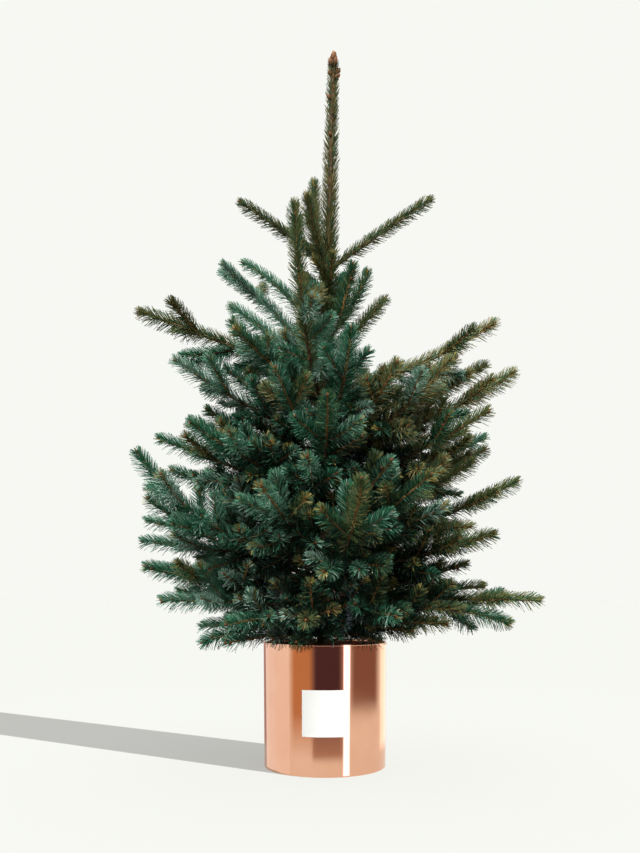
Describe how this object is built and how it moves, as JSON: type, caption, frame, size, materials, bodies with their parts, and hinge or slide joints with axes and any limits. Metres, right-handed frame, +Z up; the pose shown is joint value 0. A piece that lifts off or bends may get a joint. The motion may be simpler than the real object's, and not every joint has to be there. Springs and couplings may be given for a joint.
{
  "type": "potted spruce tree",
  "caption": "Young blue spruce with a tall leader and full whorled boughs, in a round polished copper planter with a bare white card label on its front.",
  "frame": {"origin": "middle of the planter's flat underside, on the floor", "axes": "+Z up along the trunk, -Y out through the label on the planter's front, +X to the right as seen from the front"},
  "size_m": [0.6555, 0.5533, 1.159],
  "materials": {
    "polished_copper": "polished copper with a light vertical grain",
    "compost": "dark crumbly potting compost",
    "white_card": "smooth white card, bare",
    "spruce_bark": "rough reddish brown bark",
    "blue_spruce_needles": "blue-green waxy needles"
  },
  "bodies": {
    "root": {"bough_bottom_right": "spruce_bark", "bough_lower_right": "spruce_bark", "bough_middle_right": "spruce_bark", "bough_middle_right_front": "spruce_bark", "bough_upper_left": "spruce_bark", "bough_upper_right": "spruce_bark", "foliage_bottom_back": "blue_spruce_needles", "foliage_bottom_back_right": "blue_spruce_needles", "foliage_bottom_front": "blue_spruce_needles", "foliage_bottom_front_left": "blue_spruce_needles", "foliage_bottom_front_right": "blue_spruce_needles", "foliage_bottom_left": "blue_spruce_needles", "foliage_bottom_left_back": "blue_spruce_needles", "foliage_bottom_right": "blue_spruce_needles", "foliage_high_back": "blue_spruce_needles", "foliage_high_front": "blue_spruce_needles", "foliage_high_left": "blue_spruce_needles", "foliage_high_right": "blue_spruce_needles", "foliage_high_right_back": "blue_spruce_needles", "foliage_lower_back": "blue_spruce_needles", "foliage_lower_back_left": "blue_spruce_needles", "foliage_lower_back_right": "blue_spruce_needles", "foliage_lower_front": "blue_spruce_needles", "foliage_lower_front_left": "blue_spruce_needles", "foliage_lower_front_right": "blue_spruce_needles", "foliage_lower_left": "blue_spruce_needles", "foliage_lower_left_front": "blue_spruce_needles", "foliage_lower_left_low": "blue_spruce_needles", "foliage_lower_right": "blue_spruce_needles", "foliage_lower_right_low": "blue_spruce_needles", "foliage_middle_back_left": "blue_spruce_needles", "foliage_middle_back_right": "blue_spruce_needles", "foliage_middle_front": "blue_spruce_needles", "foliage_middle_left": "blue_spruce_needles", "foliage_middle_left_front": "blue_spruce_needles", "foliage_middle_left_low": "blue_spruce_needles", "foliage_middle_right": "blue_spruce_needles", "foliage_middle_right_between": "blue_spruce_needles", "foliage_middle_right_front": "blue_spruce_needles", "foliage_middle_right_low": "blue_spruce_needles", "foliage_skirt_back": "blue_spruce_needles", "foliage_skirt_left": "blue_spruce_needles", "foliage_skirt_right": "blue_spruce_needles", "foliage_top_back": "blue_spruce_needles", "foliage_top_front": "blue_spruce_needles", "foliage_top_left": "blue_spruce_needles", "foliage_top_right": "blue_spruce_needles", "foliage_upper_back_left": "blue_spruce_needles", "foliage_upper_back_right": "blue_spruce_needles", "foliage_upper_front": "blue_spruce_needles", "foliage_upper_front_left": "blue_spruce_needles", "foliage_upper_left": "blue_spruce_needles", "foliage_upper_left_back": "blue_spruce_needles", "foliage_upper_left_front": "blue_spruce_needles", "foliage_upper_right": "blue_spruce_needles", "label": "white_card", "leader_needles": "blue_spruce_needles", "planter": "polished_copper", "potting_soil": "compost", "trunk": "spruce_bark"}
  },
  "joints": []
}
